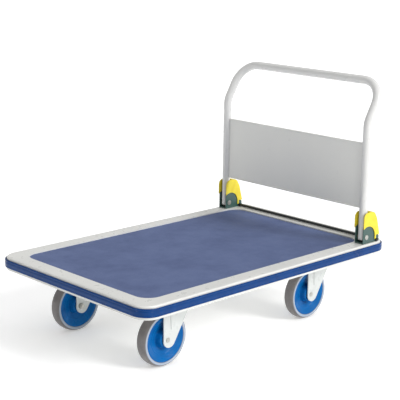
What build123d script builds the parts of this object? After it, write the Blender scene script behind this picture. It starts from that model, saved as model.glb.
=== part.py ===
from build123d import *
import os
from math import atan2, cos, degrees, radians, sin, tan

# Folding platform cart: pressed steel deck on four casters, with a tube handle that folds down
# over the deck.  Millimetres; +X runs from the nose to the handle end, +Y is the left side seen
# from the handle, +Z is up.  The origin is on the floor under the middle of the deck.

# ---- deck: one pressed sheet with a raised border, a side flange and a return lip
deck_length = 1240.0
deck_width = 790.0
deck_height = 291.0
deck_sheet = 2.3
deck_corner = 56.0
deck_edge = 6.0
flange_depth = 47.0
lip_width = 14.0
border_side = 59.0
border_rear = 85.0
recess_depth = 7.0
recess_corner = 55.0

# ---- mat and bumper
mat_thickness = 3.0
mat_gap = 0.5
bumper_proud = 7.0
bumper_height = 29.5
bumper_drop = 8.0
bumper_round = 3.0
seat_gap = 0.2

# ---- casters
wheel_radius = 98.0
wheel_width = 46.0
tyre_shoulder = 12.0
hub_radius = 82.0
hub_width = 41.0
hub_lip = 5.0
hub_web = 8.0
boss_radius = 27.0
boss_width = 48.0
bearing_outer = 17.5
bearing_width = 11.0
axle_radius = 6.0
axle_head = 8.5
axle_head_height = 2.5
sleeve_wall = 1.5
running_gap = 0.05
hole_gap = 0.3
wheel_front_x = -405.0
wheel_rear_x = 334.0
wheel_y = 236.5
caster_offset = 40.0
caster_height = 240.0
plate_length = 116.0
plate_width = 104.0
plate_thickness = 5.0
bolt_pitch_x = 92.0
bolt_pitch_y = 82.0
fork_sheet = 4.0
fork_side_gap = 5.0
fork_foot = 26.0
fork_rib = 2.2
crown_thickness = 5.0
race_height = 8.0
race_radius = 36.0
race_gap = 0.3
kingpin_radius = 8.0
kingpin_head = 13.0
kingpin_head_height = 7.0
caster_bolt_radius = 5.0

# ---- members under the deck
member_sheet = 3.2
member_overhang = 8.0
rail_width = 60.0
rail_depth = 34.0
rail_y = 150.0
rail_sheet = 2.0

# ---- handle
handle_x = 505.0
handle_y = 366.0
tube_radius = 16.0
tube_wall = 2.2
kink_height = 753.0
bar_x = 590.0
bar_height = 898.0
kink_bend = 70.0
bar_bend = 90.0
panel_low = 424.4
panel_high = 676.9
panel_sheet = 1.6
panel_hem = 3.5

# ---- hinge brackets, foot and pivot
pivot_rise = 25.0
base_thickness = 5.0
base_rear_x = 552.0
pad_rear_x = 594.0
pad_half = 12.0
cheek_rear_x = 582.0
cheek_lug = 25.0
cheek_gap = 1.0
cheek_sheet = 3.0
cheek_front = 19.0
cheek_overlap = 2.0
foot_spigot = 40.0
foot_collar = 14.0
pin_radius = 6.0
pin_head = 10.0
pin_head_height = 3.6
bush_wall = 2.0
sector_radius = 24.0
sector_thickness = 10.0
sector_low = 25.0
sector_high = 35.0
notch_angle = 18.0
notch_depth = 3.5
stop_gap = 0.4
stop_sheet = 3.6
stop_low = 29.0
stop_height = 11.0
bracket_bolt_radius = 4.0
bracket_bolt_x = (507.0, 585.0)
bracket_bolt_tail = 14.0
bracket_nut_height = 6.5
channel_bottom = 262.0
channel_sheet = 3.0
channel_margin = 10.0
channel_gap = 1.5

# ---- release levers on their common shaft
shaft_x = 566.0
shaft_rise = 7.0
shaft_radius = 5.5
hood_wall = 2.5
hood_gap = 1.0
hood_front = 21.0
hood_height = 122.0
hood_bottom = 12.5
hood_brow = 22.0
hood_lug_gap = 2.0
hood_roof = 18.0
hood_shoulder = 3.0
hood_shoulder_drop = 30.0
hood_heel = 20.0
arch_x = 510.0
arch_rise = 24.0
arch_radius = 43.5
pawl_hub = 9.0
pawl_step = 2.6
pawl_boss = 2.0
pawl_thickness = 12.0
pawl_gap = 0.5
nose_height = 7.0
nose_length = 12.0
notch_gap = 1.0
arm_thickness = 4.0
arm_length = 62.0
arm_rise = 4.0
spring_wire = 0.6
spring_gap = 0.15
spring_turns = 4
clip_thickness = 1.2
clip_radius = 6.6
clip_play = 0.2
shaft_tail = 2.5

# ---- worked out from the sizes above
pad_front_x = shaft_x + shaft_radius + 5
rim_top = deck_height
recess_floor = rim_top - recess_depth
deck_under = recess_floor - deck_sheet
flange_bottom = rim_top - flange_depth
recess_length = deck_length - border_side - border_rear
recess_width = deck_width - 2 * border_side
recess_x = (border_side - border_rear) / 2
pivot_z = rim_top + pivot_rise
shaft_z = rim_top + shaft_rise
arch_z = rim_top + arch_rise
foot_half = tube_radius
cheek_in = foot_half + cheek_gap
cheek_out = cheek_in + cheek_sheet
hood_in = cheek_out + hood_gap
hood_out = hood_in + hood_wall
fork_in = wheel_width / 2 + fork_side_gap
fork_out = fork_in + fork_sheet
sleeve_radius = axle_radius + sleeve_wall
crown_top = caster_height - plate_thickness - race_height
SIDES = {"left": 1, "right": -1}

os.makedirs("parts", exist_ok=True)


def save(name, *solids):
    """Write one node as parts/NAME.step; several solids stay separate in one compound."""
    shape = solids[0] if len(solids) == 1 else Compound(children=list(solids))
    export_step(shape, f"parts/{name}.step")


def slab(length, width, low, high, corner=0.0, x=0.0, y=0.0):
    """Upright slab between two heights, with rounded plan corners if corner is given."""
    plan = RectangleRounded(length, width, corner) if corner else Rectangle(length, width)
    return Pos(x, y, low) * extrude(plan, high - low)


def box(x0, x1, y0, y1, z0, z1):
    """Axis-aligned block given by its limits."""
    size = Box(x1 - x0, y1 - y0, z1 - z0)
    return Pos((x0 + x1) / 2, (y0 + y1) / 2, (z0 + z1) / 2) * size


def rod_y(radius, x, y0, y1, z):
    """Round bar along Y."""
    return Pos(x, (y0 + y1) / 2, z) * Rot(90, 0, 0) * Cylinder(radius, abs(y1 - y0))


def rod_z(radius, x, y, z0, z1):
    """Round bar along Z."""
    return Pos(x, y, (z0 + z1) / 2) * Cylinder(radius, z1 - z0)


def side_plate(outline, y0, y1):
    """Extrude a face drawn in the XZ plane from y0 to y1."""
    return Pos(0, y1, 0) * extrude(Plane.XZ * outline, y1 - y0)


def outline_xz(points, corners):
    """Closed polygon with a radius at each point (0 leaves the corner sharp)."""
    face = make_face(Polyline(*points, close=True))
    for (px, pz), radius in zip(points, corners):
        if radius:
            spot = min(face.vertices(), key=lambda v: (v.X - px) ** 2 + (v.Y - pz) ** 2)
            face = fillet(spot, radius)
    return face


def turned(points, x, y, z):
    """Solid of revolution about a Y axis through (x, y, z), from (radius, offset) points."""
    ring = revolve(Plane.XZ * make_face(Polyline(*points, close=True)), Axis.Z)
    return Pos(x, y, z) * Rot(-90, 0, 0) * ring


def hexagon(radius, low, high, x, y):
    """Hexagonal prism along Z."""
    return Pos(x, y, low) * extrude(RegularPolygon(radius, 6), high - low)


# ---------------------------------------------------------------- deck
def deck_pan():
    inset = 2 * deck_sheet
    pan = slab(deck_length, deck_width, flange_bottom, rim_top, deck_corner)
    pan = fillet(pan.faces().sort_by(Axis.Z)[-1].edges(), deck_edge)
    recess = slab(recess_length, recess_width, recess_floor, rim_top, recess_corner, recess_x)
    cavity = slab(
        deck_length - inset, deck_width - inset,
        flange_bottom + deck_sheet, rim_top - deck_sheet, deck_corner - deck_sheet,
    )
    cavity = fillet(cavity.faces().sort_by(Axis.Z)[-1].edges(), deck_edge - deck_sheet)
    tray = slab(
        recess_length + inset, recess_width + inset,
        deck_under, rim_top, recess_corner + deck_sheet, recess_x,
    )
    lip_inset = inset + 2 * lip_width
    mouth = slab(
        deck_length - lip_inset, deck_width - lip_inset,
        flange_bottom, flange_bottom + deck_sheet, deck_corner - deck_sheet - lip_width,
    )
    return pan - recess - (cavity - tray) - mouth - bracket_bolt_holes()


def bracket_bolt_holes():
    reach = bracket_bolt_radius + hole_gap
    holes = Part()
    for side in SIDES.values():
        for x in bracket_bolt_x:
            holes += rod_z(reach, x, side * handle_y, deck_under, rim_top + 1)
    return holes


def deck_mat():
    mat = slab(
        recess_length - 2 * mat_gap, recess_width - 2 * mat_gap,
        recess_floor, recess_floor + mat_thickness, recess_corner - mat_gap, recess_x,
    )
    return fillet(mat.faces().sort_by(Axis.Z)[-1].edges(), mat_thickness / 3)


def bumper():
    top = rim_top - bumper_drop
    low = top - bumper_height
    outer = slab(
        deck_length + 2 * bumper_proud, deck_width + 2 * bumper_proud,
        low, top, deck_corner + bumper_proud,
    )
    edges = outer.faces().sort_by(Axis.Z)[-1].edges() + outer.faces().sort_by(Axis.Z)[0].edges()
    outer = fillet(edges, bumper_round)
    inner = slab(
        deck_length + 2 * seat_gap, deck_width + 2 * seat_gap,
        low, top, deck_corner + seat_gap,
    )
    return outer - inner


def cross_member(wheel_x):
    """Channel across the deck, open upwards, that carries two caster plates."""
    x = wheel_x + caster_offset
    length = plate_length + 2 * member_overhang
    width = deck_width - 2 * (deck_sheet + lip_width + seat_gap)
    channel = slab(length, width, caster_height, deck_under, 0, x)
    channel -= slab(length - 2 * member_sheet, width + 2, caster_height + member_sheet, deck_under, 0, x)
    for side in SIDES.values():
        for bx, by in bolt_places(x, side * wheel_y):
            channel -= rod_z(caster_bolt_radius + hole_gap, bx, by, caster_height - 1, deck_under)
    return channel


def stiffener_rails():
    """Two hat channels along the deck, between the cross members."""
    half = plate_length / 2 + member_overhang + seat_gap
    front = wheel_front_x + caster_offset + half
    rear = wheel_rear_x + caster_offset - half
    low = deck_under - rail_depth
    rails = []
    for side in SIDES.values():
        y = side * rail_y
        rail = box(front, rear, y - rail_width / 2, y + rail_width / 2, low, deck_under)
        inner = rail_width / 2 - rail_sheet
        rails.append(rail - box(front - 1, rear + 1, y - inner, y + inner, low + rail_sheet, deck_under))
    return rails


# ---------------------------------------------------------------- casters
def bolt_places(x, y):
    """The four bolt centres of a caster plate centred at x, y."""
    return [
        (x + i * bolt_pitch_x / 2, y + j * bolt_pitch_y / 2)
        for i in (-1, 1)
        for j in (-1, 1)
    ]


def fork_leg(axle_x, top):
    """Leg outline: round foot at the axle, upright front edge, sloping rear edge."""
    front = axle_x + caster_offset - plate_length / 2
    rear = axle_x + caster_offset + plate_length / 2
    axle_z = wheel_radius
    slope = radians(31.0)
    foot_x = front + fork_foot
    foot_z = axle_z - fork_foot / 8
    edge_x = foot_x + fork_foot * cos(slope)
    edge_z = foot_z - fork_foot * sin(slope)
    knee_z = edge_z + (rear - edge_x) / tan(slope)
    outline = make_face(
        Polyline(
            (front, foot_z), (front, top), (rear, top), (rear, knee_z), (edge_x, edge_z),
            (foot_x, foot_z), close=True,
        )
    )
    return outline + Pos(foot_x, foot_z) * Circle(fork_foot)


def fork_legs(axle_x, y, top):
    """Both legs with their embossed ribs and the axle hole."""
    rib = outline_xz(
        [
            (axle_x + 14, axle_z_of(34)), (axle_x + 10, top - 12),
            (axle_x + 44, top - 12), (axle_x + 30, axle_z_of(34)),
        ],
        (4, 4, 4, 4),
    )
    legs = Part()
    for inner in (-fork_out, fork_in):
        legs += side_plate(fork_leg(axle_x, top), y + inner, y + inner + fork_sheet)
    for face in (-fork_out - fork_rib, fork_out):
        legs += side_plate(rib, y + face, y + face + fork_rib)
    reach = fork_out + fork_rib + 1
    return legs - rod_y(axle_radius + hole_gap, axle_x, y - reach, y + reach, wheel_radius)


def axle_z_of(rise):
    """Height of a point that lies rise above the wheel axle."""
    return wheel_radius + rise


def caster_plate(x, y):
    """Flat top plate with four bolt holes."""
    low = caster_height - plate_thickness
    plate = slab(plate_length, plate_width, low, caster_height, 8, x, y)
    for bx, by in bolt_places(x, y):
        plate -= rod_z(caster_bolt_radius + hole_gap, bx, by, low - 1, caster_height + 1)
    return plate


def rigid_fork(y):
    """Rigid caster: two legs welded to the top plate."""
    top = caster_height - plate_thickness
    return fork_legs(wheel_front_x, y, top) + caster_plate(wheel_front_x + caster_offset, y)


def swivel_fork(y):
    """Swivel caster fork: two legs and a crown with the kingpin bore."""
    x = wheel_rear_x + caster_offset
    low = crown_top - crown_thickness
    fork = fork_legs(wheel_rear_x, y, crown_top)
    fork += slab(plate_length, 2 * fork_out, low, crown_top, 0, x, y)
    return fork - rod_z(kingpin_radius + running_gap, x, y, low - 1, crown_top + 1)


def swivel_plate(y):
    x = wheel_rear_x + caster_offset
    hole = rod_z(kingpin_radius + hole_gap, x, y, caster_height - plate_thickness, caster_height)
    return caster_plate(x, y) - hole


def ball_race(y):
    """Ring of the swivel bearing, fixed under the top plate and just clear of the crown."""
    x = wheel_rear_x + caster_offset
    low, high = crown_top + race_gap, caster_height - plate_thickness
    ring = rod_z(race_radius, x, y, low, high)
    ring = chamfer(ring.faces().sort_by(Axis.Z)[0].edges(), 2)
    return ring - rod_z(kingpin_radius + hole_gap, x, y, low - 1, high + 1)


def kingpin(y):
    x = wheel_rear_x + caster_offset
    under = crown_top - crown_thickness - race_gap
    pin = rod_z(kingpin_radius, x, y, under - 1, caster_height)
    return pin + rod_z(kingpin_head, x, y, under - kingpin_head_height, under)


def tyre(x, y):
    ring = rod_y(wheel_radius, x, y - wheel_width / 2, y + wheel_width / 2, wheel_radius)
    rims = [e for e in ring.edges().filter_by(GeomType.CIRCLE)]
    ring = fillet(rims, tyre_shoulder)
    bore = hub_radius + seat_gap / 2
    return ring - rod_y(bore, x, y - wheel_width, y + wheel_width, wheel_radius)


def hub(x, y):
    """Pressed wheel centre: rim, dished web and a boss bored for two ball bearings."""
    half, dish = hub_width / 2, hub_web / 2
    rim_in = hub_radius - hub_lip
    boss = boss_width / 2
    seat = bearing_outer + running_gap
    clear = sleeve_radius + 2
    floor = boss - bearing_width
    upper = [
        (clear, floor), (seat, floor), (seat, boss), (boss_radius - 2, boss), (boss_radius, boss - 2),
        (boss_radius + 4, dish + 5), (boss_radius + 9, dish), (rim_in - 4, half - 4),
        (rim_in, half), (hub_radius - 1, half), (hub_radius, half - 1),
    ]
    lower = [(r, -h) for r, h in reversed(upper)]
    return turned(upper + lower, x, y, wheel_radius)


def bearings(x, y):
    """Two ball bearings, one in each end of the hub boss."""
    rings = []
    inner = sleeve_radius + running_gap
    for side in (-1, 1):
        near = side * (boss_width / 2 - bearing_width)
        far = side * boss_width / 2
        shield = far - side * 0.8
        points = [
            (inner, near), (bearing_outer, near), (bearing_outer, far), (bearing_outer - 2.5, far),
            (bearing_outer - 2.5, shield), (inner + 2.5, shield), (inner + 2.5, far), (inner, far),
        ]
        rings.append(turned(points, x, y, wheel_radius))
    return rings


def axle_sleeve(x, y):
    reach = fork_in - seat_gap / 2
    tube = rod_y(sleeve_radius, x, y - reach, y + reach, wheel_radius)
    return tube - rod_y(axle_radius + running_gap, x, y - reach, y + reach, wheel_radius)


def axle_bolt(x, y, side):
    """Axle pin with a flat round head on the outer side of the cart."""
    face = y + side * fork_out
    tail = y - side * (fork_out + 12)
    head = rod_y(axle_head, x, face, face + side * axle_head_height, wheel_radius)
    rim = head.faces().sort_by(Axis.Y)[-1 if side > 0 else 0].edges()
    return rod_y(axle_radius, x, face, tail, wheel_radius) + chamfer(rim, axle_head_height / 3)


def axle_nut(x, y, side):
    """Lock nut on the inner side, clear of the thread by the running gap."""
    face = y - side * (fork_out + 0.1)
    nut = extrude(RegularPolygon(axle_radius + 4.6, 6), 9) - Cylinder(axle_radius + running_gap, 40)
    turn = Rot(90, 0, 0) if side > 0 else Rot(-90, 0, 0)
    return Pos(x, face, wheel_radius) * turn * nut


def caster_bolts():
    """Bolts from below through each caster plate and its cross member."""
    top = caster_height + member_sheet
    low = caster_height - plate_thickness
    bolts, nuts = [], []
    for wheel_x in (wheel_front_x, wheel_rear_x):
        for side in SIDES.values():
            for bx, by in bolt_places(wheel_x + caster_offset, side * wheel_y):
                shank = rod_z(caster_bolt_radius, bx, by, low, top + 12)
                bolts.append(shank + hexagon(caster_bolt_radius + 4, low - 6.2, low, bx, by))
                nut = hexagon(caster_bolt_radius + 4, top, top + 8, bx, by)
                nuts.append(nut - rod_z(caster_bolt_radius + running_gap, bx, by, top, top + 9))
    return bolts, nuts


# ---------------------------------------------------------------- handle
def handle_tube():
    """One bent tube: two uprights, a rearward kink in each and the grip bar between them."""
    low = pivot_z + foot_collar
    points = [
        (handle_x, -handle_y, low), (handle_x, -handle_y, kink_height), (bar_x, -handle_y, bar_height),
        (bar_x, handle_y, bar_height), (handle_x, handle_y, kink_height), (handle_x, handle_y, low),
    ]
    path = FilletPolyline(*points, radius=[kink_bend, bar_bend, bar_bend, kink_bend])
    section = Circle(tube_radius) - Circle(tube_radius - tube_wall)
    return sweep(Plane(origin=points[0], z_dir=(0, 0, 1)) * section, path=path)


def handle_panel():
    """Flat sheet between the uprights, with a rolled hem along its top and bottom edge."""
    half = handle_y - tube_radius - seat_gap
    hem_low, hem_high = panel_low + panel_hem, panel_high - panel_hem
    sheet = box(handle_x - panel_sheet / 2, handle_x + panel_sheet / 2, -half, half, hem_low, hem_high)
    for z in (hem_low, hem_high):
        sheet += rod_y(panel_hem, handle_x, -half + 2, half - 2, z)
    return sheet


def handle_foot(y):
    """Foot in the tube end: spigot, half-round knuckle and the notched lock sector."""
    neck = pivot_z + foot_collar
    knuckle = rod_z(foot_half, handle_x, y, pivot_z, neck)
    knuckle += rod_y(foot_half, handle_x, y - foot_half, y + foot_half, pivot_z) & rod_z(
        foot_half, handle_x, y, pivot_z - foot_half, neck
    )
    spigot = rod_z(tube_radius - tube_wall - seat_gap / 2, handle_x, y, neck - 1, neck + foot_spigot)
    sector = rod_y(sector_radius, handle_x, y - sector_thickness / 2, y + sector_thickness / 2, pivot_z)
    low = pivot_z - sector_radius * sin(radians(sector_low))
    high = pivot_z + sector_radius * sin(radians(sector_high))
    sector &= box(handle_x, handle_x + sector_radius, y - foot_half, y + foot_half, low, high)
    notch = Box(2 * notch_depth, 2 * foot_half, nose_height + 2 * notch_gap)
    notch = Pos(handle_x, y, pivot_z) * Rot(0, -notch_angle, 0) * Pos(sector_radius, 0, 0) * notch
    foot = knuckle + spigot + (sector - notch)
    return foot - rod_y(pin_radius + bush_wall + running_gap, handle_x, y - 20, y + 20, pivot_z)


def foot_bush(y):
    ring = rod_y(pin_radius + bush_wall, handle_x, y - foot_half, y + foot_half, pivot_z)
    return ring - rod_y(pin_radius + running_gap, handle_x, y - foot_half, y + foot_half, pivot_z)


def hinge_pin(y, side):
    """Pivot pin with a domed head on the outer cheek."""
    face = y + side * cheek_out
    tail = y - side * (cheek_out + 3)
    pin = rod_y(pin_radius, handle_x, tail, face, pivot_z)
    head = rod_y(pin_head, handle_x, face, face + side * pin_head_height, pivot_z)
    rim = head.faces().sort_by(Axis.Y)[-1 if side > 0 else 0].edges()
    return pin + fillet(rim, pin_head_height * 0.8)


def hinge_pin_clip(y, side):
    """Push-on ring that keeps the pin from the inner side."""
    near = y - side * (cheek_out + 0.1)
    far = near - side * 2
    return rod_y(pin_head, handle_x, near, far, pivot_z) - rod_y(
        pin_radius + running_gap, handle_x, near + side, far - side, pivot_z
    )


# ---------------------------------------------------------------- hinge brackets
def cheek_outline():
    """Round-topped cheek about the arch of the hood, with a low lug behind it for the shaft."""
    radius = arch_radius + cheek_overlap
    dome = Pos(arch_x, arch_z) * Circle(radius)
    front, low = handle_x - cheek_front, rim_top
    window = Pos((front + arch_x + radius) / 2, (low + arch_z + radius) / 2) * Rectangle(
        arch_x + radius - front, arch_z + radius - low
    )
    lug = Pos((front + cheek_rear_x) / 2, low + cheek_lug / 2) * Rectangle(cheek_rear_x - front, cheek_lug)
    rear_top = (lug.vertices().sort_by(Axis.X)[-2:]).sort_by(Axis.Y)[-1]
    return (dome & window) + fillet(rear_top, 6)


def hinge_bracket(y):
    """Base plate, two cheeks and the upright stop behind the tube, welded into one."""
    front = handle_x - cheek_front
    base_top = rim_top + base_thickness
    bracket = box(front, base_rear_x, y - cheek_out, y + cheek_out, rim_top, base_top)
    bracket += box(pad_front_x, cheek_rear_x, y - cheek_out, y + cheek_out, rim_top, base_top)
    bracket += box(pad_front_x, pad_rear_x, y - pad_half, y + pad_half, rim_top, base_top)
    for inner in (-cheek_out, cheek_in):
        bracket += side_plate(cheek_outline(), y + inner, y + inner + cheek_sheet)
    stop_x = handle_x + tube_radius + stop_gap
    bracket += box(
        stop_x, stop_x + stop_sheet, y - cheek_in - 1, y + cheek_in + 1,
        pivot_z + stop_low, pivot_z + stop_low + stop_height,
    )
    bracket -= rod_y(pin_radius + running_gap, handle_x, y - 30, y + 30, pivot_z)
    bracket -= rod_y(shaft_radius + running_gap, shaft_x, y - 30, y + 30, shaft_z)
    for x in bracket_bolt_x:
        bracket -= bracket_bolt_solid(x, y, hole_gap)
    return bracket


def bracket_bolt_solid(x, y, grow=0.0):
    """Countersunk bolt, flush with the top of the base plate; grow widens it into its hole."""
    radius = bracket_bolt_radius + grow
    top = rim_top + base_thickness
    low = channel_bottom - bracket_bolt_tail
    head = Cone(radius, 2 * bracket_bolt_radius + grow, bracket_bolt_radius)
    return rod_z(radius, x, y, low, top) + Pos(x, y, top - bracket_bolt_radius / 2) * head


def bracket_bolts():
    bolts, nuts = [], []
    low = channel_bottom - bracket_nut_height
    thread = bracket_bolt_radius + running_gap
    for side in SIDES.values():
        y = side * handle_y
        for x in bracket_bolt_x:
            bolts.append(bracket_bolt_solid(x, y))
            nut = hexagon(bracket_bolt_radius * 1.85, low, channel_bottom, x, y)
            nuts.append(nut - rod_z(thread, x, y, low - 1, channel_bottom + 1))
    return bolts, nuts


def hinge_channel(side):
    """Channel under the border that takes the bracket bolts; its walls bear on the sheet."""
    front = bracket_bolt_x[0] - channel_margin
    rear = bracket_bolt_x[1] + channel_margin
    low_y = recess_width / 2 + deck_sheet + channel_gap
    high_y = deck_width / 2 - deck_sheet - lip_width - 2 * channel_gap
    top = rim_top - deck_sheet
    channel = box(front, rear, low_y, high_y, channel_bottom, top)
    channel -= box(
        front - 1, rear + 1, low_y + channel_sheet, high_y - channel_sheet,
        channel_bottom + channel_sheet, top,
    )
    for x in bracket_bolt_x:
        channel -= rod_z(bracket_bolt_radius + hole_gap, x, handle_y, channel_bottom - 1, top)
    return channel if side > 0 else mirror(channel, about=Plane.XZ)


# ---------------------------------------------------------------- release levers
def hood_points(inset=0.0):
    """Side outline of the lever hood; inset draws it smaller by the wall."""
    front = handle_x - hood_front
    top = rim_top + hood_height - inset
    shoulder_x = shaft_x - hood_shoulder - inset
    low = rim_top + hood_bottom
    return [
        (front, low), (front, top), (shoulder_x - hood_roof, top),
        (shoulder_x, top - hood_shoulder_drop), (shaft_x + hood_heel - inset, low),
    ]


def release_lever(y):
    """Foot-operated hood: two side walls arched over the hinge, a roof and a rear wall."""
    corners = (0, hood_brow, 26, 30, 0)
    outer = side_plate(outline_xz(hood_points(), corners), y - hood_out, y + hood_out)
    outer = fillet(outer.faces().sort_by(Axis.Z)[-1].edges().filter_by(Axis.X), 1.2)
    inner = side_plate(outline_xz(hood_points(hood_wall), (0, 0, 24, 28, 0)), y - hood_in, y + hood_in)
    front = handle_x - hood_front
    slot_rear = handle_x + tube_radius + 3
    slot = box(front - 1, slot_rear, y - hood_in, y + hood_in, rim_top, rim_top + hood_height + 1)
    arch = rod_y(arch_radius, arch_x, y - 30, y + 30, arch_z)
    below_arch = box(front - 1, arch_x + arch_radius, y - 30, y + 30, rim_top, arch_z)
    front_foot = box(front - 1, arch_x, y - 30, y + 30, rim_top, arch_z + arch_radius * 0.8)
    lug_top = rim_top + cheek_lug + hood_lug_gap
    lug_room = box(shaft_x - shaft_radius, shaft_x + hood_heel + 1, y - 30, y + 30, rim_top, lug_top)
    return outer - inner - slot - arch - below_arch - front_foot - lug_room


def lock_pawl(y):
    """Steel arm on the shaft: the nose points at the notch of the lock sector, the arm carries the hood."""
    half = pawl_thickness / 2
    lean_x, lean_z = cos(radians(notch_angle)), sin(radians(notch_angle))

    def from_pivot(reach, aside):
        return (handle_x + reach * lean_x - aside * lean_z, pivot_z + reach * lean_z + aside * lean_x)

    tip = sector_radius + pawl_gap
    points = [
        from_pivot(tip, -nose_height / 2), from_pivot(tip, nose_height / 2),
        from_pivot(tip + nose_length, nose_height / 2), (shaft_x + 3, shaft_z + pawl_hub),
        (shaft_x, shaft_z), (shaft_x - 7, shaft_z + 2), from_pivot(tip + nose_length / 2, -nose_height / 2),
    ]
    pawl = side_plate(outline_xz(points, (0, 0, 3, 0, 0, 0, 3)), y - half, y + half)
    pawl += rod_y(pawl_hub - pawl_step, shaft_x, y - half - pawl_boss, y + half + pawl_boss, shaft_z)
    _, _, _, (top_x, top_z), (foot_x, foot_z) = hood_points(hood_wall)
    lean = atan2(top_x - foot_x, top_z - foot_z)
    arm = Box(arm_thickness, 2 * (foot_half - 2), arm_length)
    mid_z = shaft_z + arm_rise + arm_length / 2
    mid_x = foot_x + (mid_z - foot_z) * tan(lean) - (arm_thickness + seat_gap) / 2 / cos(lean)
    pawl += Pos(mid_x, y, mid_z) * Rot(0, degrees(lean), 0) * arm
    web = [
        (shaft_x - 3, shaft_z + 2), (shaft_x - 3, shaft_z + 12), (mid_x + 2, mid_z - 10),
        (mid_x + 4, shaft_z + 6), (shaft_x + 3, shaft_z + 1),
    ]
    pawl += side_plate(outline_xz(web, (0, 0, 0, 0, 0)), y - half, y + half)
    return pawl - rod_y(shaft_radius + running_gap, shaft_x, y - 30, y + 30, shaft_z)


def release_shaft():
    """Bar that joins both levers, so that either one frees both sides."""
    reach = handle_y + hood_out + shaft_tail
    return rod_y(shaft_radius, shaft_x, -reach, reach, shaft_z)


def shaft_clip(y):
    """Snap ring on the shaft."""
    ring = rod_y(clip_radius, shaft_x, y - clip_thickness / 2, y + clip_thickness / 2, shaft_z)
    ring -= rod_y(shaft_radius + running_gap, shaft_x, y - 2, y + 2, shaft_z)
    return ring - box(shaft_x, shaft_x + clip_radius + 1, y - 2, y + 2, shaft_z - 3, shaft_z + 3)


def lever_spring(y):
    """Torsion spring round the shaft between the pawl and a cheek."""
    pitch = 2 * spring_wire + 0.15
    height = pitch * spring_turns
    coil = shaft_radius + spring_wire + spring_gap
    line = Helix(pitch, height, coil)
    wire = sweep(Plane(origin=line @ 0, z_dir=line % 0) * Circle(spring_wire), path=line, is_frenet=True)
    return Pos(shaft_x, y, shaft_z) * Rot(-90, 0, 0) * wire


# ---------------------------------------------------------------- build every node
save("deck_pan", deck_pan())
save("deck_mat", deck_mat())
save("bumper", bumper())
save("front_cross_member", cross_member(wheel_front_x))
save("rear_cross_member", cross_member(wheel_rear_x))
save("stiffener_rails", *stiffener_rails())

for name, side in SIDES.items():
    y = side * wheel_y
    save(f"rigid_fork_{name}", rigid_fork(y))
    save(f"swivel_fork_{name}", swivel_fork(y))
    save(f"swivel_plate_{name}", swivel_plate(y))
    save(f"ball_race_{name}", ball_race(y))
    save(f"kingpin_{name}", kingpin(y))
    save(f"rear_axle_bolt_{name}", axle_bolt(wheel_rear_x, y, side))
    save(f"rear_axle_nut_{name}", axle_nut(wheel_rear_x, y, side))
    save(f"rear_axle_sleeve_{name}", axle_sleeve(wheel_rear_x, y))
    for end, x in (("front", wheel_front_x), ("rear", wheel_rear_x)):
        save(f"{end}_tyre_{name}", tyre(x, y))
        save(f"{end}_hub_{name}", hub(x, y))
        save(f"{end}_bearings_{name}", *bearings(x, y))

front_places = [(wheel_front_x, side * wheel_y, side) for side in SIDES.values()]
save("front_axle_bolts", *[axle_bolt(*place) for place in front_places])
save("front_axle_nuts", *[axle_nut(*place) for place in front_places])
save("front_axle_sleeves", *[axle_sleeve(x, y) for x, y, _ in front_places])
plate_bolts, plate_nuts = caster_bolts()
save("caster_bolts", *plate_bolts)
save("caster_nuts", *plate_nuts)

save("handle_tube", handle_tube())
save("handle_panel", handle_panel())
hinge_bolts, hinge_nuts = bracket_bolts()
save("bracket_bolts", *hinge_bolts)
save("bracket_nuts", *hinge_nuts)
save("hinge_channels", *[hinge_channel(side) for side in SIDES.values()])
save("hinge_pins", *[hinge_pin(side * handle_y, side) for side in SIDES.values()])
save("hinge_pin_clips", *[hinge_pin_clip(side * handle_y, side) for side in SIDES.values()])
for name, side in SIDES.items():
    y = side * handle_y
    save(f"handle_foot_{name}", handle_foot(y))
    save(f"foot_bush_{name}", foot_bush(y))
    save(f"hinge_bracket_{name}", hinge_bracket(y))
    save(f"release_lever_{name}", release_lever(y))
    save(f"lock_pawl_{name}", lock_pawl(y))

save("release_shaft", release_shaft())
clip_side = hood_out + clip_play + clip_thickness / 2
clip_places = [side * handle_y + step * clip_side for side in (-1, 1) for step in (-1, 1)]
save("shaft_clips", *[shaft_clip(y) for y in clip_places])
spring_seat = pawl_thickness / 2 + pawl_boss + spring_wire + clip_play
save("lever_springs", *[lever_spring(side * handle_y + spring_seat) for side in (-1, 1)])
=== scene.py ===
from math import cos, pi, radians, sin

import bmesh
import bpy
import numpy as np
from mathutils import Matrix, Vector


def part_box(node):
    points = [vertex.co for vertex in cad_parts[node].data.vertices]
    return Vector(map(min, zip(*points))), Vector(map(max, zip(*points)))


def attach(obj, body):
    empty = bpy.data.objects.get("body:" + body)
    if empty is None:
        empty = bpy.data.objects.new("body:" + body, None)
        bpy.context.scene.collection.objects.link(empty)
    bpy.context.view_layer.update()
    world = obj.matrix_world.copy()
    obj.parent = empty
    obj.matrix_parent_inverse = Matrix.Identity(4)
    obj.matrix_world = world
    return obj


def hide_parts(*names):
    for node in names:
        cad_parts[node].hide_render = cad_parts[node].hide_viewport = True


# Folding platform cart: a pressed steel deck with a rubber mat and a vinyl bumper, four casters with
# blue centres, and a white tube handle that folds down on two hinges with yellow foot levers.
# Metres, +X towards the handle end, +Y to the left seen from the handle, +Z up.

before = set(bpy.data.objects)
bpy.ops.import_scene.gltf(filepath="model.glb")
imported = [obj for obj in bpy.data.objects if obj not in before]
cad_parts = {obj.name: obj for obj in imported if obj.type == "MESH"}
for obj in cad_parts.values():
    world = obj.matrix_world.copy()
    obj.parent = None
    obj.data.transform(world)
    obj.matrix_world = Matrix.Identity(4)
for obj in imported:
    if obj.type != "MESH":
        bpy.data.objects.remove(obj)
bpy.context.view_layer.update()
scene = bpy.context.scene


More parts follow.
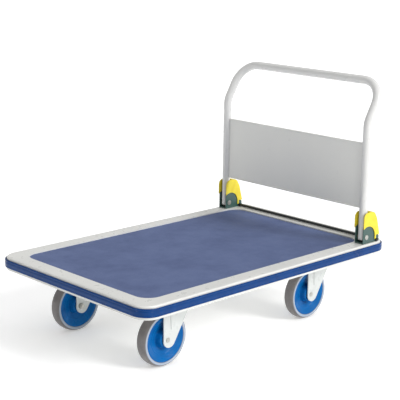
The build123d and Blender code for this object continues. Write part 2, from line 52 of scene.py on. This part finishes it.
# ---------------------------------------------------------------- pressed steel deck
# The deck is one deep-drawn sheet: a raised border, a side flange and a return lip, with channels
# welded under it.  It is dipped and baked in thick off-white enamel, which pulls smooth over bends
# and shows a faint orange peel on the flats.
deck_cream = (0.720, 0.720, 0.690, 1.0)
deck_shade = (0.640, 0.645, 0.625, 1.0)


def baked_enamel(name, colour, shade, roughness=0.30, peel=0.10, scuffs=0.25):
    """Enamel: colour drifts to shade over a hand's width, rare scuffs dull it, peel is a fine bump."""
    material = bpy.data.materials.new(name)
    material.use_nodes = True
    nodes, links = material.node_tree.nodes, material.node_tree.links
    shader = nodes["Principled BSDF"]
    shader.inputs["Coat Weight"].default_value = 0.25
    shader.inputs["Coat Roughness"].default_value = 0.12
    place = nodes.new("ShaderNodeTexCoord")

    drift = nodes.new("ShaderNodeTexNoise")
    drift.inputs["Scale"].default_value = 5.0
    drift.inputs["Detail"].default_value = 4.0
    links.new(place.outputs["Object"], drift.inputs["Vector"])
    drift_range = nodes.new("ShaderNodeMapRange")
    drift_range.inputs["From Min"].default_value = 0.42
    drift_range.inputs["From Max"].default_value = 0.85
    links.new(drift.outputs["Fac"], drift_range.inputs["Value"])
    body = nodes.new("ShaderNodeMix")
    body.data_type = "RGBA"
    body.inputs["A"].default_value = colour
    body.inputs["B"].default_value = shade
    links.new(drift_range.outputs["Result"], body.inputs["Factor"])

    scuff = nodes.new("ShaderNodeTexNoise")
    scuff.inputs["Scale"].default_value = 34.0
    scuff.inputs["Detail"].default_value = 8.0
    scuff.inputs["Roughness"].default_value = 0.7
    links.new(place.outputs["Object"], scuff.inputs["Vector"])
    scuff_range = nodes.new("ShaderNodeMapRange")
    scuff_range.inputs["From Min"].default_value = 0.62
    scuff_range.inputs["From Max"].default_value = 0.78
    scuff_range.inputs["To Max"].default_value = scuffs
    links.new(scuff.outputs["Fac"], scuff_range.inputs["Value"])
    worn = nodes.new("ShaderNodeMix")
    worn.data_type = "RGBA"
    worn.inputs["B"].default_value = tuple(0.45 * c for c in colour[:3]) + (1.0,)
    links.new(scuff_range.outputs["Result"], worn.inputs["Factor"])
    links.new(body.outputs["Result"], worn.inputs["A"])
    links.new(worn.outputs["Result"], shader.inputs["Base Color"])

    gloss = nodes.new("ShaderNodeMapRange")
    gloss.inputs["From Min"].default_value = 0.35
    gloss.inputs["From Max"].default_value = 0.75
    gloss.inputs["To Min"].default_value = roughness - 0.05
    gloss.inputs["To Max"].default_value = roughness + 0.14
    links.new(scuff.outputs["Fac"], gloss.inputs["Value"])
    links.new(gloss.outputs["Result"], shader.inputs["Roughness"])

    skin_noise = nodes.new("ShaderNodeTexNoise")
    skin_noise.inputs["Scale"].default_value = 320.0
    skin_noise.inputs["Detail"].default_value = 2.0
    links.new(place.outputs["Object"], skin_noise.inputs["Vector"])
    bump = nodes.new("ShaderNodeBump")
    bump.inputs["Strength"].default_value = peel
    bump.inputs["Distance"].default_value = 0.0006
    links.new(skin_noise.outputs["Fac"], bump.inputs["Height"])
    links.new(bump.outputs["Normal"], shader.inputs["Normal"])
    return material


def finish_nodes(names, material):
    """The frame's own pieces keep their mesh and take this finish."""
    for name in names:
        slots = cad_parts[name].data.materials
        slots.clear()
        slots.append(material)


deck_enamel = baked_enamel("deck enamel", deck_cream, deck_shade, scuffs=0.08)
finish_nodes(
    ["deck_pan", "front_cross_member", "rear_cross_member", "stiffener_rails", "hinge_channels"],
    deck_enamel,
)


# ---------------------------------------------------------------- rubber mat
# A slate blue rubber sheet, 3 mm thick, is laid in the recess of the deck.  It is calendered with a
# fine pebble grain, its cut edge is slightly rounded, and it never lies perfectly flat.
mat_blue = (0.106, 0.147, 0.292, 1.0)
mat_dark = (0.076, 0.106, 0.226, 1.0)
mat_corner = 0.0545
mat_edge = 0.0010
mat_wave = 0.00018


def rounded_loop(length, width, corner, x=0.0, per_corner=20, per_side=60):
    """Plan outline of a rounded rectangle: its points and the outward direction at each of them.

    Each corner is a quarter turn about its centre; the straight sides are divided evenly.
    """
    points, normals = [], []
    for quarter in range(4):
        start = quarter * pi / 2
        turn = start + np.linspace(0.0, pi / 2, per_corner)
        across = 1.0 if quarter in (0, 3) else -1.0
        aside = 1.0 if quarter in (0, 1) else -1.0
        centre = np.array([x + across * (length / 2 - corner), aside * (width / 2 - corner)])
        arc = np.stack([np.cos(turn), np.sin(turn)], axis=1)
        points.append(centre + corner * arc)
        normals.append(arc)
        sideways = length if quarter in (0, 2) else width
        run = np.linspace(0.0, sideways - 2 * corner, per_side + 2)[1:-1, None]
        ahead = np.array([-arc[-1, 1], arc[-1, 0]])
        points.append(points[-1][-1] + run * ahead)
        normals.append(np.repeat(arc[-1:], per_side, axis=0))
    return np.concatenate(points), np.concatenate(normals)


def skin(name, points, close_rows=False, close_columns=False, sharp=40.0):
    """Mesh through a grid of points, rows by columns by xyz; a closed direction joins its ends."""
    rows, columns = points.shape[:2]
    index = np.arange(rows * columns).reshape(rows, columns)
    if close_rows:
        index = np.vstack([index, index[:1]])
    if close_columns:
        index = np.hstack([index, index[:, :1]])
    quads = np.stack([index[:-1, :-1], index[1:, :-1], index[1:, 1:], index[:-1, 1:]], axis=-1)
    mesh = bpy.data.meshes.new(name)
    mesh.from_pydata(points.reshape(-1, 3).tolist(), [], quads.reshape(-1, 4).tolist())
    tidy_mesh(mesh, sharp)
    piece = bpy.data.objects.new(name, mesh)
    scene.collection.objects.link(piece)
    return piece


def tidy_mesh(mesh, sharp):
    """Merges the points at poles and seams, turns the faces outwards and smooths all but real edges."""
    work = bmesh.new()
    work.from_mesh(mesh)
    bmesh.ops.remove_doubles(work, verts=work.verts, dist=1e-6)
    bmesh.ops.recalc_face_normals(work, faces=work.faces)
    work.to_mesh(mesh)
    work.free()
    mesh.shade_smooth()
    mesh.set_sharp_from_angle(angle=radians(sharp))


def pebbled_rubber(name, colour, dark, grain, depth, roughness):
    """Rubber: Voronoi pebbles of one grain size in the bump, painted shade darkening the valleys between
    them, and a slow drift from colour to dark.
    """
    material = bpy.data.materials.new(name)
    material.use_nodes = True
    nodes, links = material.node_tree.nodes, material.node_tree.links
    shader = nodes["Principled BSDF"]
    shader.inputs["Specular IOR Level"].default_value = 0.22
    shader.inputs["Sheen Weight"].default_value = 0.02
    place = nodes.new("ShaderNodeTexCoord")

    drift = nodes.new("ShaderNodeTexNoise")
    drift.inputs["Scale"].default_value = 9.0
    drift.inputs["Detail"].default_value = 7.0
    drift.inputs["Roughness"].default_value = 0.65
    links.new(place.outputs["Object"], drift.inputs["Vector"])
    drift_range = nodes.new("ShaderNodeMapRange")
    drift_range.inputs["From Min"].default_value = 0.38
    drift_range.inputs["From Max"].default_value = 0.80
    links.new(drift.outputs["Fac"], drift_range.inputs["Value"])
    pebble = nodes.new("ShaderNodeTexVoronoi")
    pebble.inputs["Scale"].default_value = 1.0 / grain
    links.new(place.outputs["Object"], pebble.inputs["Vector"])
    # Painted shade: the colour darkens towards the pebble edges, which the inverted bump makes the valleys.
    valley_shade = nodes.new("ShaderNodeMapRange")
    valley_shade.inputs["From Min"].default_value = 0.2
    valley_shade.inputs["From Max"].default_value = 0.8
    valley_shade.inputs["To Max"].default_value = 0.35
    links.new(pebble.outputs["Distance"], valley_shade.inputs["Value"])
    drift_and_valley_shade = nodes.new("ShaderNodeMath")
    drift_and_valley_shade.operation = "ADD"
    drift_and_valley_shade.use_clamp = True
    links.new(drift_range.outputs["Result"], drift_and_valley_shade.inputs[0])
    links.new(valley_shade.outputs["Result"], drift_and_valley_shade.inputs[1])
    body = nodes.new("ShaderNodeMix")
    body.data_type = "RGBA"
    body.inputs["A"].default_value = colour
    body.inputs["B"].default_value = dark
    links.new(drift_and_valley_shade.outputs["Value"], body.inputs["Factor"])
    links.new(body.outputs["Result"], shader.inputs["Base Color"])

    gloss = nodes.new("ShaderNodeMapRange")
    gloss.inputs["To Min"].default_value = roughness - 0.08
    gloss.inputs["To Max"].default_value = roughness + 0.12
    links.new(drift.outputs["Fac"], gloss.inputs["Value"])
    links.new(gloss.outputs["Result"], shader.inputs["Roughness"])
    bump = nodes.new("ShaderNodeBump")
    bump.invert = True
    bump.inputs["Strength"].default_value = 0.6
    bump.inputs["Distance"].default_value = depth
    links.new(pebble.outputs["Distance"], bump.inputs["Height"])
    links.new(bump.outputs["Normal"], shader.inputs["Normal"])
    return material


def rubber_mat():
    """The outline shrinks to its centre in rings; height is the sheet plus a slow wave."""
    low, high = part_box("deck_mat")
    middle = (low.x + high.x) / 2
    loop, outward = rounded_loop(high.x - low.x, high.y - low.y, mat_corner, middle)
    centre = np.array([middle, 0.0])
    turn = np.linspace(0.0, pi / 2, 6)
    rings = [(loop, low.z), (loop, high.z - mat_edge)]
    for step in turn[1:]:
        inset = mat_edge * (1 - cos(step))
        rings.append((loop - inset * outward, high.z - mat_edge * (1 - sin(step))))
    inner = rings[-1][0]
    for share in np.linspace(1.0, 0.0, 60)[1:]:
        rings.append((centre + share * (inner - centre), high.z))
    under = [(centre + share * (loop - centre), low.z) for share in np.linspace(0.0, 1.0, 6)[:-1]]
    grid = np.array([np.column_stack([ring, np.full(len(ring), z)]) for ring, z in under + rings])
    top = grid[..., 2] > high.z - 1e-6
    wave = np.sin(9.0 * grid[..., 0] + 1.0) * np.cos(13.0 * grid[..., 1]) - 1.0
    grid[..., 2] += np.where(top, mat_wave * wave, 0.0)
    return skin("mat_sheet", grid, close_columns=True)


mat_rubber = pebbled_rubber("mat rubber", mat_blue, mat_dark, grain=0.0032, depth=0.0004, roughness=0.62)
mat = rubber_mat()
mat.data.materials.append(mat_rubber)
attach(mat, "cart_frame")
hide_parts("deck_mat")


# ---------------------------------------------------------------- bumper
# A blue vinyl strip is pressed round the flange of the deck.  It is extruded with two shallow
# grooves and soft rolled edges, half glossy, and it turns the corners in one piece.
vinyl_blue = (0.002, 0.044, 0.185, 1.0)
vinyl_dark = (0.002, 0.033, 0.142, 1.0)
groove_depth = 0.0011
groove_width = 0.0016
groove_place = 0.0072
strip_round = 3.6
strip_corner = 0.056
strip_gap = 0.0002


def moulded_plastic(name, colour, shade, roughness, grain, mirror):
    """Moulded plastic: flow marks drift from colour to shade, with a fine grain in gloss and bump."""
    material = bpy.data.materials.new(name)
    material.use_nodes = True
    nodes, links = material.node_tree.nodes, material.node_tree.links
    shader = nodes["Principled BSDF"]
    shader.inputs["Specular IOR Level"].default_value = mirror
    place = nodes.new("ShaderNodeTexCoord")
    flow = nodes.new("ShaderNodeTexNoise")
    flow.inputs["Scale"].default_value = 16.0
    flow.inputs["Detail"].default_value = 5.0
    flow.inputs["Distortion"].default_value = 1.2
    links.new(place.outputs["Object"], flow.inputs["Vector"])
    flow_range = nodes.new("ShaderNodeMapRange")
    flow_range.inputs["From Min"].default_value = 0.40
    flow_range.inputs["From Max"].default_value = 0.80
    links.new(flow.outputs["Fac"], flow_range.inputs["Value"])
    body = nodes.new("ShaderNodeMix")
    body.data_type = "RGBA"
    body.inputs["A"].default_value = colour
    body.inputs["B"].default_value = shade
    links.new(flow_range.outputs["Result"], body.inputs["Factor"])
    links.new(body.outputs["Result"], shader.inputs["Base Color"])
    gloss = nodes.new("ShaderNodeMapRange")
    gloss.inputs["From Min"].default_value = 0.3
    gloss.inputs["From Max"].default_value = 0.8
    gloss.inputs["To Min"].default_value = roughness - 0.06
    gloss.inputs["To Max"].default_value = roughness + 0.12
    links.new(flow.outputs["Fac"], gloss.inputs["Value"])
    links.new(gloss.outputs["Result"], shader.inputs["Roughness"])
    fine = nodes.new("ShaderNodeTexNoise")
    fine.inputs["Scale"].default_value = 1.0 / grain
    fine.inputs["Detail"].default_value = 3.0
    links.new(place.outputs["Object"], fine.inputs["Vector"])
    bump = nodes.new("ShaderNodeBump")
    bump.inputs["Strength"].default_value = 0.14
    bump.inputs["Distance"].default_value = 0.0004
    links.new(fine.outputs["Fac"], bump.inputs["Height"])
    links.new(bump.outputs["Normal"], shader.inputs["Normal"])
    return material


def bumper_strip():
    """Section: a superellipse of the strip's half width and half height, with two Gaussian grooves
    pressed into its outer side; the section is carried round the deck on the outward direction."""
    low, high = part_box("bumper")
    deck_low, deck_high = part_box("deck_pan")
    proud = high.x - deck_high.x
    size = deck_high - deck_low
    loop, outward = rounded_loop(size.x, size.y, strip_corner, per_corner=40)
    angle = np.linspace(0.0, 2 * pi, 72, endpoint=False)
    power = 2 / strip_round
    out = np.sign(np.cos(angle)) * np.abs(np.cos(angle)) ** power
    rise = np.sign(np.sin(angle)) * np.abs(np.sin(angle)) ** power
    half_out, half_high = (proud - strip_gap) / 2, (high.z - low.z) / 2
    section_out = strip_gap + half_out * (1 + out)
    section_rise = half_high * rise
    for groove in (-groove_place, groove_place):
        dip = groove_depth * np.exp(-(((section_rise - groove) / groove_width) ** 2))
        section_out -= np.where(out > 0, dip, 0.0)
    middle = (low.z + high.z) / 2
    flat = loop[:, None, :] + section_out[None, :, None] * outward[:, None, :]
    height = np.broadcast_to(middle + section_rise, flat.shape[:2])
    grid = np.concatenate([flat, height[..., None]], axis=2)
    return skin("bumper_strip", grid, close_rows=True, close_columns=True, sharp=60.0)


vinyl = moulded_plastic("bumper vinyl", vinyl_blue, vinyl_dark, roughness=0.18, grain=0.0020, mirror=0.18)
strip = bumper_strip()
strip.data.materials.append(vinyl)
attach(strip, "cart_frame")
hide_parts("bumper")


# ---------------------------------------------------------------- caster forks
# Each fork is two pressed steel legs with an embossed rib, welded under a top plate or a crown, and
# enamelled off-white.  The rear pair turns on a zinc-plated plate with a ball race and a kingpin.
fork_cream = (0.590, 0.612, 0.598, 1.0)
fork_shade = (0.530, 0.550, 0.540, 1.0)
fork_edge = 0.0007


def softened(node, name, width, material, body, turn=32.0):
    """A frame piece with its cut edges broken: coplanar triangles join into faces, then a small bevel."""
    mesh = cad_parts[node].data.copy()
    mesh.name = name
    work = bmesh.new()
    work.from_mesh(mesh)
    bmesh.ops.remove_doubles(work, verts=work.verts, dist=1e-6)
    bmesh.ops.dissolve_limit(
        work, angle_limit=radians(0.6), verts=work.verts, edges=work.edges, use_dissolve_boundaries=False,
    )
    work.to_mesh(mesh)
    work.free()
    mesh.materials.clear()
    mesh.materials.append(material)
    piece = bpy.data.objects.new(name, mesh)
    scene.collection.objects.link(piece)
    bevel = piece.modifiers.new("broken edges", "BEVEL")
    bevel.width = width
    bevel.segments = 2
    bevel.limit_method = "ANGLE"
    bevel.angle_limit = radians(turn)
    bevel.harden_normals = False
    mesh.shade_smooth()
    mesh.set_sharp_from_angle(angle=radians(turn))
    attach(piece, body)
    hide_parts(node)
    return piece


def bare_steel(name, colour, roughness, streak=(1.0, 1.0, 12.0)):
    """Plated or blackened steel: a streaky noise moves colour and gloss, with fine bump."""
    material = bpy.data.materials.new(name)
    material.use_nodes = True
    nodes, links = material.node_tree.nodes, material.node_tree.links
    shader = nodes["Principled BSDF"]
    shader.inputs["Metallic"].default_value = 0.9
    place = nodes.new("ShaderNodeTexCoord")
    stretch = nodes.new("ShaderNodeMapping")
    stretch.inputs["Scale"].default_value = streak
    links.new(place.outputs["Object"], stretch.inputs["Vector"])
    noise = nodes.new("ShaderNodeTexNoise")
    noise.inputs["Scale"].default_value = 90.0
    noise.inputs["Detail"].default_value = 6.0
    links.new(stretch.outputs["Vector"], noise.inputs["Vector"])
    body = nodes.new("ShaderNodeMix")
    body.data_type = "RGBA"
    body.inputs["A"].default_value = colour
    body.inputs["B"].default_value = tuple(0.62 * c for c in colour[:3]) + (1.0,)
    links.new(noise.outputs["Fac"], body.inputs["Factor"])
    links.new(body.outputs["Result"], shader.inputs["Base Color"])
    gloss = nodes.new("ShaderNodeMapRange")
    gloss.inputs["To Min"].default_value = roughness - 0.10
    gloss.inputs["To Max"].default_value = roughness + 0.15
    links.new(noise.outputs["Fac"], gloss.inputs["Value"])
    links.new(gloss.outputs["Result"], shader.inputs["Roughness"])
    bump = nodes.new("ShaderNodeBump")
    bump.inputs["Strength"].default_value = 0.2
    bump.inputs["Distance"].default_value = 0.0003
    links.new(noise.outputs["Fac"], bump.inputs["Height"])
    links.new(bump.outputs["Normal"], shader.inputs["Normal"])
    return material


fork_enamel = baked_enamel("fork enamel", fork_cream, fork_shade, roughness=0.28, scuffs=0.35)
zinc = bare_steel("zinc plate", (0.60, 0.60, 0.56, 1.0), 0.34)
black_oxide = bare_steel("black oxide", (0.075, 0.080, 0.078, 1.0), 0.42)

for side in ("left", "right"):
    softened(
        f"rigid_fork_{side}", f"rigid_fork_pressing_{side}", fork_edge, fork_enamel,
        "cart_frame",
    )
    softened(
        f"swivel_fork_{side}", f"swivel_fork_pressing_{side}", fork_edge, fork_enamel,
        f"rear_swivel_{side}",
    )
    finish_nodes([f"swivel_plate_{side}", f"ball_race_{side}", f"kingpin_{side}"], zinc)
finish_nodes(["caster_bolts", "caster_nuts"], zinc)


# ---------------------------------------------------------------- wheels
# Solid grey rubber tyres are moulded onto blue nylon centres.  The centre is dished on both sides
# between a heavy rim and the bearing boss; ball bearings run on a sleeve round the axle bolt.
tread_grey = (0.200, 0.188, 0.188, 1.0)
tread_dark = (0.112, 0.104, 0.104, 1.0)
# Painted highlight: a pale bluish band on the sidewall next to the hub stands for light caught there.
sidewall_highlight_grey = (0.350, 0.400, 0.480, 1.0)
hub_blue = (0.001, 0.118, 0.370, 1.0)
hub_shade = (0.001, 0.080, 0.270, 1.0)
tyre_bulge = 2.7
tyre_foot = 0.0040
mould_line = 0.00035
line_width = 0.0006
wheel_steps = 144
hub_bore = 0.0178
web_half = 0.0045
boss_shoulder = 0.0255
dish_foot = 0.0360
dish_ease = 1.15
rim_land = 0.0055
rim_half = 0.0205
rim_break = 0.0008
bead_height = 0.0008
bead_radius = 0.0560
bead_width = 0.0016
tyre_seat = 0.0001


def turned_ring(name, radius, offset, centre, sharp=35.0):
    """Closed section of radius and offset carried round the Y axis through the centre."""
    turn = np.linspace(0.0, 2 * pi, wheel_steps, endpoint=False)
    x = centre[0] + radius[None, :] * np.cos(turn)[:, None]
    z = centre[2] + radius[None, :] * np.sin(turn)[:, None]
    y = np.broadcast_to(centre[1] + offset, x.shape)
    return skin(name, np.stack([x, y, z], axis=2), close_rows=True, close_columns=True, sharp=sharp)


def tyre_section(outer, bore, half):
    """Outside: a superellipse from one sidewall over the tread to the other, with a raised mould
    line on each sidewall and one round the tread; inside: the cylinder on the hub."""
    angle = np.linspace(-pi / 2, pi / 2, 81)
    power = 2 / tyre_bulge
    foot = bore + tyre_foot
    radius = foot + (outer - mould_line - foot) * np.abs(np.cos(angle)) ** power
    offset = half * np.sign(np.sin(angle)) * np.abs(np.sin(angle)) ** power
    radius += mould_line * np.exp(-((offset / line_width) ** 2))
    wall = np.array([[bore + 0.0012, half - 0.0012], [bore, half - 0.0028]])
    radius = np.concatenate([[bore, bore + 0.0012], radius, wall[:, 0]])
    offset = np.concatenate([[-half + 0.0028, -half + 0.0012], offset, wall[:, 1]])
    return radius, offset


def smooth_step(value, start, end):
    """Rises from 0 at start to 1 at end with level ends."""
    share = np.clip((value - start) / (end - start), 0.0, 1.0)
    return share * share * (3 - 2 * share)


def hub_section(rim, boss_half):
    """Half thickness against radius: the boss falls to a thin web on a smooth step, the dish rises
    from the web to the rim in a straight cone, eased at its foot, and a bead marks the cone's middle."""
    radius = np.linspace(hub_bore, rim, 110)
    boss = (boss_half - web_half) * (1 - smooth_step(radius, boss_shoulder, dish_foot))
    climb = np.clip((radius - dish_foot) / (rim - rim_land - dish_foot), 0.0, 1.0)
    lip = (rim_half - web_half) * np.minimum(climb ** dish_ease, 1.0)
    bead = bead_height * np.exp(-(((radius - bead_radius) / bead_width) ** 2))
    half = web_half + boss + lip + bead
    past = ((radius - (rim - rim_break)) / rim_break).clip(0, 1)
    half -= rim_break * (1 - np.sqrt(np.clip(1 - past ** 2, 0, 1)))
    return np.concatenate([radius, radius[::-1]]), np.concatenate([half, -half[::-1]])


def mark_sidewall_highlight(tyre, centre, bore, half):
    """Point attribute for a painted highlight: 1 on the flat of the sidewall near the hub, 0 from the
    shoulder outwards.
    """
    count = len(tyre.data.vertices)
    place = np.empty(count * 3, np.float32)
    tyre.data.vertices.foreach_get("co", place)
    place = place.reshape(-1, 3) - np.array(centre)
    radius = np.hypot(place[:, 0], place[:, 2])
    flat = smooth_step(np.abs(place[:, 1]), 0.86 * half, 0.95 * half)
    pale = flat * (1 - smooth_step(radius, bore + 0.0075, bore + 0.0105))
    mark = tyre.data.attributes.new("sidewall", "FLOAT", "POINT")
    mark.data.foreach_set("value", pale.astype(np.float32))


def tyre_finish(name, tread, dark, sidewall):
    """Half glossy rubber: the tread drifts to dark, and the sidewall attribute mixes in a pale painted
    highlight next to the hub.
    """
    material = pebbled_rubber(name, tread, dark, grain=0.0016, depth=0.00008, roughness=0.34)
    nodes, links = material.node_tree.nodes, material.node_tree.links
    shader = nodes["Principled BSDF"]
    shader.inputs["Specular IOR Level"].default_value = 0.55
    body = shader.inputs["Base Color"].links[0].from_socket
    mark = nodes.new("ShaderNodeAttribute")
    mark.attribute_name = "sidewall"
    # Painted highlight: the pale sidewall colour is mixed in where the attribute is 1.
    ring = nodes.new("ShaderNodeMix")
    ring.data_type = "RGBA"
    ring.inputs["B"].default_value = sidewall
    links.new(mark.outputs["Fac"], ring.inputs["Factor"])
    links.new(body, ring.inputs["A"])
    links.new(ring.outputs["Result"], shader.inputs["Base Color"])
    return material


tyre_rubber = tyre_finish("tyre rubber", tread_grey, tread_dark, sidewall_highlight_grey)
hub_nylon = moulded_plastic("hub nylon", hub_blue, hub_shade, roughness=0.30, grain=0.0012, mirror=0.14)
for end in ("front", "rear"):
    for side in ("left", "right"):
        body = f"{end}_wheel_{side}"
        tyre_low, tyre_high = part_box(f"{end}_tyre_{side}")
        hub_low, hub_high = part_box(f"{end}_hub_{side}")
        centre = (tyre_low + tyre_high) / 2
        hub_rim = (hub_high.x - hub_low.x) / 2
        outer = (tyre_high.x - tyre_low.x) / 2
        section = tyre_section(outer, hub_rim + tyre_seat, (tyre_high.y - tyre_low.y) / 2)
        tyre = turned_ring(f"{end}_tyre_moulding_{side}", *section, centre)
        mark_sidewall_highlight(tyre, centre, hub_rim, (tyre_high.y - tyre_low.y) / 2)
        tyre.data.materials.append(tyre_rubber)
        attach(tyre, body)
        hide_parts(f"{end}_tyre_{side}")
        section = hub_section(hub_rim, (hub_high.y - hub_low.y) / 2)
        hub = turned_ring(f"{end}_hub_moulding_{side}", *section, centre)
        hub.data.materials.append(hub_nylon)
        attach(hub, body)
        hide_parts(f"{end}_hub_{side}")
        finish_nodes([f"{end}_bearings_{side}"], zinc)
finish_nodes(["front_axle_bolts", "front_axle_nuts", "front_axle_sleeves"], zinc)
for side in ("left", "right"):
    finish_nodes([f"rear_axle_{part}_{side}" for part in ("bolt", "nut", "sleeve")], zinc)


# ---------------------------------------------------------------- tube handle
# One 32 mm steel tube is bent into two uprights, a kink towards the handle end and the grip bar.  A
# plain sheet with rolled edges is spot-welded between the uprights, and all of it is enamelled white.
tube_white = (0.700, 0.698, 0.686, 1.0)
tube_shade = (0.640, 0.640, 0.630, 1.0)
panel_grey = (0.785, 0.785, 0.745, 1.0)
panel_shade = (0.750, 0.750, 0.720, 1.0)

tube_enamel = baked_enamel("tube enamel", tube_white, tube_shade, roughness=0.30, scuffs=0.2)
panel_enamel = baked_enamel("panel enamel", panel_grey, panel_shade, roughness=0.38, scuffs=0.2)
finish_nodes(["handle_tube", "handle_foot_left", "handle_foot_right"], tube_enamel)
finish_nodes(["handle_panel"], panel_enamel)
bronze = bare_steel("sintered bronze", (0.55, 0.38, 0.18, 1.0), 0.42)
finish_nodes(["foot_bush_left", "foot_bush_right"], bronze)


# ---------------------------------------------------------------- hinges
# A green steel bracket with two cheeks stands on the deck border at each upright, held by two
# countersunk bolts into a channel below.  The upright's foot turns on a headed pin with a ring.
green = (0.036, 0.092, 0.080, 1.0)
green_shade = (0.022, 0.060, 0.054, 1.0)
bracket_edge = 0.0006

green_enamel = baked_enamel("bracket enamel", green, green_shade, roughness=0.34, scuffs=0.3)
for side in ("left", "right"):
    softened(
        f"hinge_bracket_{side}", f"hinge_cheeks_{side}", bracket_edge, green_enamel,
        "cart_frame",
    )
finish_nodes(["bracket_bolts", "bracket_nuts", "hinge_pins", "hinge_pin_clips"], zinc)


# ---------------------------------------------------------------- release levers
# A yellow moulded hood over each hinge is pressed down with the foot.  It sits on a blackened steel
# arm with the lock pawl, and a round bar on the deck joins both sides so that either one frees both.
yellow = (0.800, 0.660, 0.045, 1.0)
yellow_shade = (0.720, 0.560, 0.030, 1.0)
hood_edge = 0.0007

yellow_nylon = moulded_plastic(
    "lever nylon", yellow, yellow_shade, roughness=0.34, grain=0.0014, mirror=0.32,
)
for side in ("left", "right"):
    softened(
        f"release_lever_{side}", f"lever_hood_{side}", hood_edge, yellow_nylon,
        "release_bar",
    )
    finish_nodes([f"lock_pawl_{side}"], black_oxide)
finish_nodes(["release_shaft", "shaft_clips", "lever_springs"], black_oxide)


# ---------------------------------------------------------------- floor and light
# A pale matt studio floor that glows faintly, a wide key light on the right, a soft overhead light and
# two narrow strips; the surrounding light is weaker in front of the deck than behind the handle.
floor_half = 30.0
floor_grid = np.array([[[x, y, 0.0] for y in (-floor_half, floor_half)] for x in (-floor_half, floor_half)])
floor = skin("studio_floor", floor_grid)
floor_paint = bpy.data.materials.new("studio floor")
floor_paint.use_nodes = True
floor_shader = floor_paint.node_tree.nodes["Principled BSDF"]
floor_shader.inputs["Base Color"].default_value = (0.94, 0.94, 0.94, 1.0)
floor_shader.inputs["Roughness"].default_value = 0.9
floor_shader.inputs["Specular IOR Level"].default_value = 0.1
floor_shader.inputs["Emission Color"].default_value = (1.0, 1.0, 1.0, 1.0)
floor_shader.inputs["Emission Strength"].default_value = 0.30
floor.data.materials.append(floor_paint)

world = bpy.data.worlds.new("studio")
scene.world = world
world.use_nodes = True
world_nodes, world_links = world.node_tree.nodes, world.node_tree.links
where = world_nodes.new("ShaderNodeTexCoord")
split = world_nodes.new("ShaderNodeSeparateXYZ")
world_links.new(where.outputs["Generated"], split.inputs["Vector"])
fade = world_nodes.new("ShaderNodeMapRange")
fade.inputs["From Min"].default_value = -1.0
fade.inputs["To Min"].default_value = 0.14
fade.inputs["To Max"].default_value = 0.66
world_links.new(split.outputs["X"], fade.inputs["Value"])
world_links.new(fade.outputs["Result"], world_nodes["Background"].inputs["Strength"])
world_nodes["Background"].inputs["Color"].default_value = (1.0, 1.0, 1.0, 1.0)


def studio_light(name, lamp, place):
    """Adds a lamp at a place, turned to face the middle of the cart and not seen itself."""
    light = bpy.data.objects.new(name, lamp)
    light.location = place
    light.rotation_euler = (Vector((0.0, 0.0, 0.4)) - Vector(place)).to_track_quat("-Z", "Y").to_euler()
    light.visible_camera = False
    scene.collection.objects.link(light)


def wide_light(name, place, strength, spread):
    """A broad even light, given by its strength and the angle that it fills."""
    lamp = bpy.data.lights.new(name, "SUN")
    lamp.energy = strength
    lamp.angle = radians(spread)
    studio_light(name, lamp, place)


def strip_light(name, place, width, height, power):
    """An upright strip that draws a narrow highlight on tubes and vinyl."""
    lamp = bpy.data.lights.new(name, "AREA")
    lamp.shape = "RECTANGLE"
    lamp.size = width
    lamp.size_y = height
    lamp.energy = power
    studio_light(name, lamp, place)


wide_light("key", (1.2, -4.0, 2.8), 2.0, 22.0)
wide_light("overhead", (-0.3, 0.3, 5.0), 0.85, 90.0)
strip_light("front strip", (-4.6, 0.4, 0.9), 0.15, 1.6, 14.0)
strip_light("side strip", (-1.1, -5.0, 0.9), 0.22, 1.6, 30.0)


# ---------------------------------------------------------------- camera
# A long lens three metres off the corner of the deck, a little above the grip bar.
yaw, pitch, roll = radians(45.84), radians(-13.66), radians(0.89)
ahead = Vector((cos(pitch) * cos(yaw), cos(pitch) * sin(yaw), sin(pitch)))
level = ahead.cross(Vector((0.0, 0.0, 1.0))).normalized()
upright = level.cross(ahead)
right = cos(roll) * level + sin(roll) * upright
up = cos(roll) * upright - sin(roll) * level
lens = bpy.data.cameras.new("camera")
lens.lens = 102.67
lens.sensor_width = 36.0
lens.clip_end = 100.0
camera = bpy.data.objects.new("camera", lens)
turn = Matrix((right, up, -ahead)).transposed().to_4x4()
camera.matrix_world = Matrix.Translation((-2.8606, -2.9423, 1.4680)) @ turn
scene.collection.objects.link(camera)
scene.camera = camera
scene.view_settings.view_transform = "Standard"
